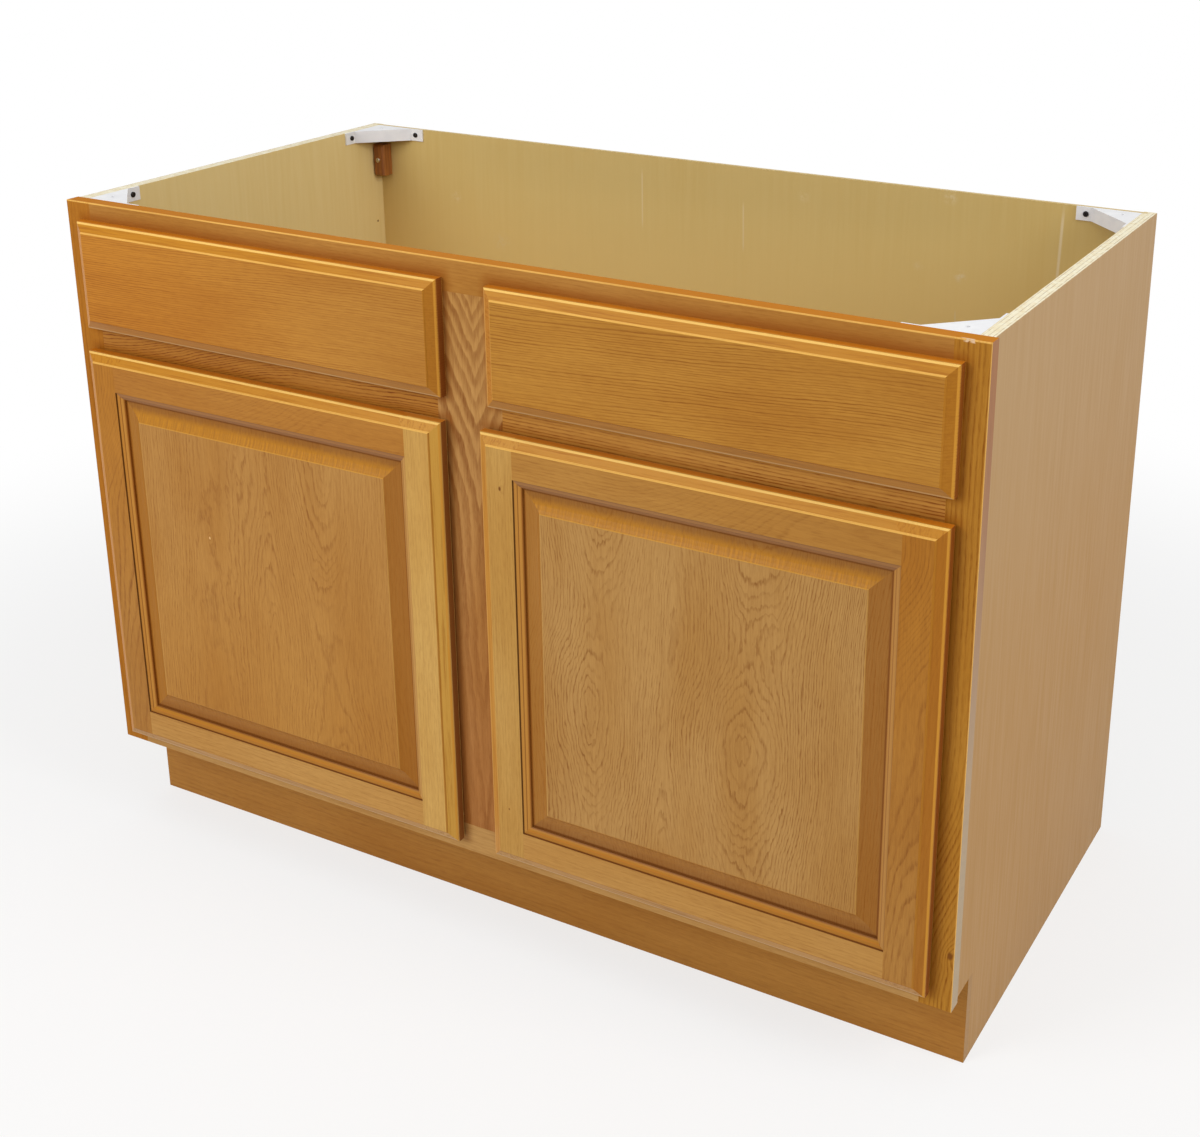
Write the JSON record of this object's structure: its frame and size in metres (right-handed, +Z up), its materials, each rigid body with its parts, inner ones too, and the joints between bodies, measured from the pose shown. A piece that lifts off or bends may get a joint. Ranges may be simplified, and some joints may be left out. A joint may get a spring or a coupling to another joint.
{
  "type": "sink base cabinet",
  "caption": "Oak face-frame base cabinet for a sink: open top, false drawer fronts, raised-panel doors on concealed hinges, toe recess and corner braces.",
  "frame": {"origin": "on the floor, midway between the two sides and midway from the door faces to the rear", "axes": "+X to the right seen from the front, along the width; +Y to the rear; +Z up. The doors and false fronts face -Y."},
  "size_m": [1.2192, 0.6318, 0.8763],
  "materials": {
    "face_frame_oak": "satin varnish",
    "door_oak": "satin varnish",
    "door_panel_oak": "satin varnish",
    "false_front_oak": "satin varnish",
    "side_plywood": "printed oak skin outside, clear birch inside",
    "back_plywood": "clear birch",
    "floor_plywood": "clear birch",
    "toe_board_wood": "satin varnish",
    "cleat_wood": "bare",
    "block_wood": "stained",
    "brace_plastic": "smooth",
    "dark_screw_steel": "black oxide",
    "zinc_screw_steel": "zinc plated",
    "hinge_steel": "nickel plated",
    "bumper_rubber": "clear soft plastic"
  },
  "bodies": {
    "cabinet": {"left_side_panel": "side_plywood", "right_side_panel": "side_plywood", "back_panel": "back_plywood", "bottom_panel": "floor_plywood", "toe_board": "toe_board_wood", "floor_cleat": "cleat_wood", "floor_support": "cleat_wood", "left_stile": "face_frame_oak", "right_stile": "face_frame_oak", "centre_stile": "face_frame_oak", "top_rail": "face_frame_oak", "bottom_rail": "face_frame_oak", "left_mid_rail": "face_frame_oak", "right_mid_rail": "face_frame_oak", "left_false_front": "false_front_oak", "right_false_front": "false_front_oak", "left_front_cleats": "cleat_wood", "right_front_cleats": "cleat_wood", "false_front_screws": "zinc_screw_steel", "brace_front_left": "brace_plastic", "brace_front_right": "brace_plastic", "brace_back_left": "brace_plastic", "brace_back_right": "brace_plastic", "brace_screws": "dark_screw_steel", "corner_block_left": "block_wood", "corner_block_right": "block_wood", "block_screws": "zinc_screw_steel", "left_hinge_plate_screws": "zinc_screw_steel", "left_lower_hinge_arm": "hinge_steel", "left_upper_hinge_arm": "hinge_steel", "right_hinge_plate_screws": "zinc_screw_steel", "right_lower_hinge_arm": "hinge_steel", "right_upper_hinge_arm": "hinge_steel"},
    "left_door": {"left_door_hinge_stile": "door_oak", "left_door_free_stile": "door_oak", "left_door_top_rail": "door_oak", "left_door_bottom_rail": "door_oak", "left_door_panel": "door_panel_oak", "left_door_bumpers": "bumper_rubber", "left_door_cup_screws": "zinc_screw_steel", "left_lower_hinge_cup": "hinge_steel", "left_lower_hinge_pin": "hinge_steel", "left_upper_hinge_cup": "hinge_steel", "left_upper_hinge_pin": "hinge_steel"},
    "right_door": {"right_door_hinge_stile": "door_oak", "right_door_free_stile": "door_oak", "right_door_top_rail": "door_oak", "right_door_bottom_rail": "door_oak", "right_door_panel": "door_panel_oak", "right_door_bumpers": "bumper_rubber", "right_door_cup_screws": "zinc_screw_steel", "right_lower_hinge_cup": "hinge_steel", "right_lower_hinge_pin": "hinge_steel", "right_upper_hinge_cup": "hinge_steel", "right_upper_hinge_pin": "hinge_steel"}
  },
  "joints": [
    {"name": "left_door_hinge", "type": "hinge", "parent": "cabinet", "child": "left_door", "pos_m": [-0.5771, -0.30507, 0.40958], "axis": [0, 0, -1], "range_deg": [0, 105]},
    {"name": "right_door_hinge", "type": "hinge", "parent": "cabinet", "child": "right_door", "pos_m": [0.5771, -0.30507, 0.40958], "axis": [0, 0, 1], "range_deg": [0, 105]}
  ]
}
